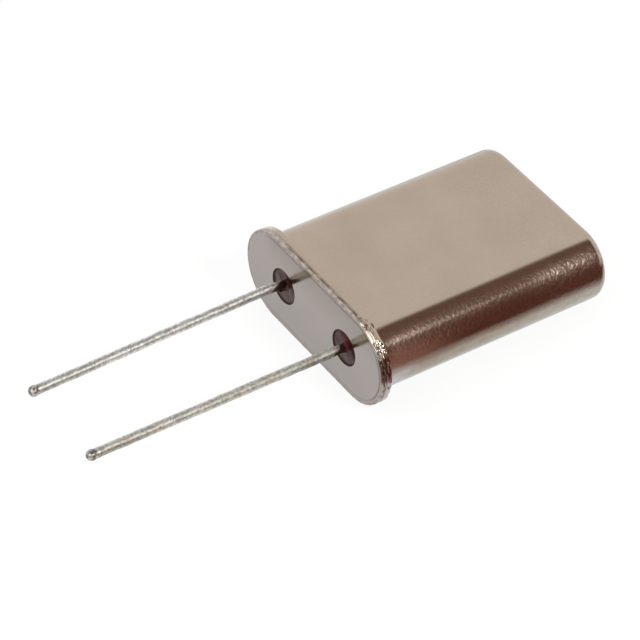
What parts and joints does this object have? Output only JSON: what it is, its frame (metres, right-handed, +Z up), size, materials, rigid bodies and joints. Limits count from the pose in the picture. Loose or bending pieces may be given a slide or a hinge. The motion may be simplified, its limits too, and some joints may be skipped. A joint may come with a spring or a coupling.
{
  "type": "quartz crystal unit",
  "caption": "Quartz crystal resonator in a tall oval drawn metal can, with a flanged base, glass-sealed wire leads and a spring-held quartz disc inside.",
  "frame": {"origin": "on the base's flat outer face, midway between the axes of the two leads", "axes": "+X along the can from the base to its closed end, so the leads point along -X; +Y across the can's width, along the row of the two leads; +Z up, through the can's thickness, with the part lying on one wide side"},
  "size_m": [0.0267, 0.011, 0.0046],
  "materials": {
    "nickel_silver": "satin drawn sheet with a warm grey tone, glossier on the rounded sides",
    "base_plating": "smooth bright nickel plating",
    "seal_glass": "opaque dark purple-brown sealing glass, glossy",
    "tinned_wire": "dipped tin with faint ripples",
    "spring_nickel": "bright rolled strip",
    "quartz": "finely lapped, slightly cloudy",
    "silver_film": "satin evaporated silver",
    "silver_cement": "matt grey silver-filled cement"
  },
  "bodies": {
    "root": {"can": "nickel_silver", "base": "base_plating", "glass_seal_1": "seal_glass", "glass_seal_2": "seal_glass", "lead_1": "tinned_wire", "lead_2": "tinned_wire", "clip_1": "spring_nickel", "clip_2": "spring_nickel", "quartz_blank": "quartz", "electrode_front": "silver_film", "electrode_back": "silver_film", "cement_1": "silver_cement", "cement_2": "silver_cement"}
  },
  "joints": []
}
